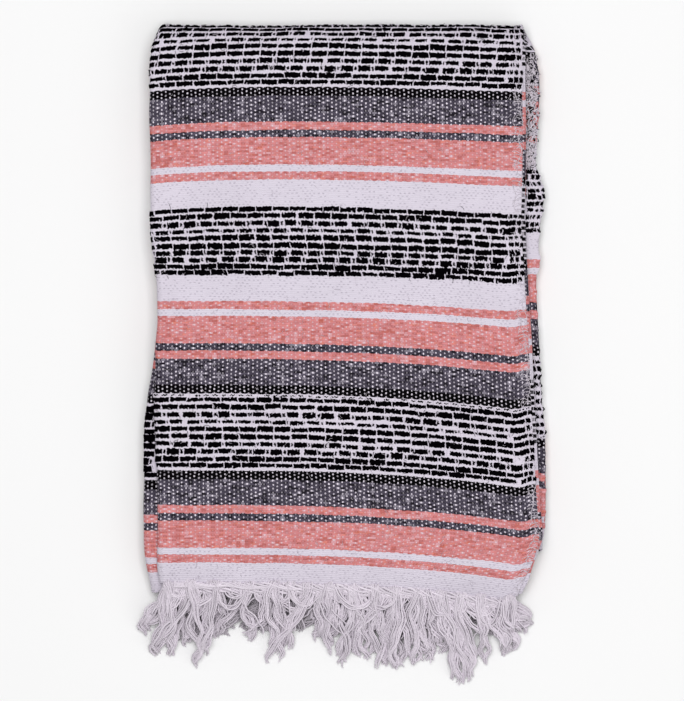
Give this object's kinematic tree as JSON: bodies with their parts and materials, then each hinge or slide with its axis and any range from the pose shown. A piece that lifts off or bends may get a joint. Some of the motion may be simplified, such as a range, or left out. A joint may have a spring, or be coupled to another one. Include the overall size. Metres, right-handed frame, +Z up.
{
  "type": "folded falsa blanket",
  "caption": "Striped, fringed woven falsa blanket, folded in quarters each way and lying flat on its back.",
  "frame": {"origin": "under the middle of the outline, on the surface that the blanket lies on", "axes": "+Z up through the folded stack, +Y from the fringed ends to the rolled top fold, +X to the right as the fringe hangs towards the viewer"},
  "size_m": [0.3412, 0.5534, 0.042],
  "materials": {
    "woven_stripes": "coarse matt weave of grey, coral pink, lavender-white and black stripes",
    "inner_layers": "folded edges of the same coarse weave",
    "fringe_yarn": "loose matt yarn"
  },
  "bodies": {
    "root": {"front_panel": "woven_stripes", "second_panel": "woven_stripes", "lower_fold": "woven_stripes", "back_panel": "woven_stripes", "hidden_layers": "inner_layers", "fringe_front": "fringe_yarn", "fringe_second": "fringe_yarn"}
  },
  "joints": []
}
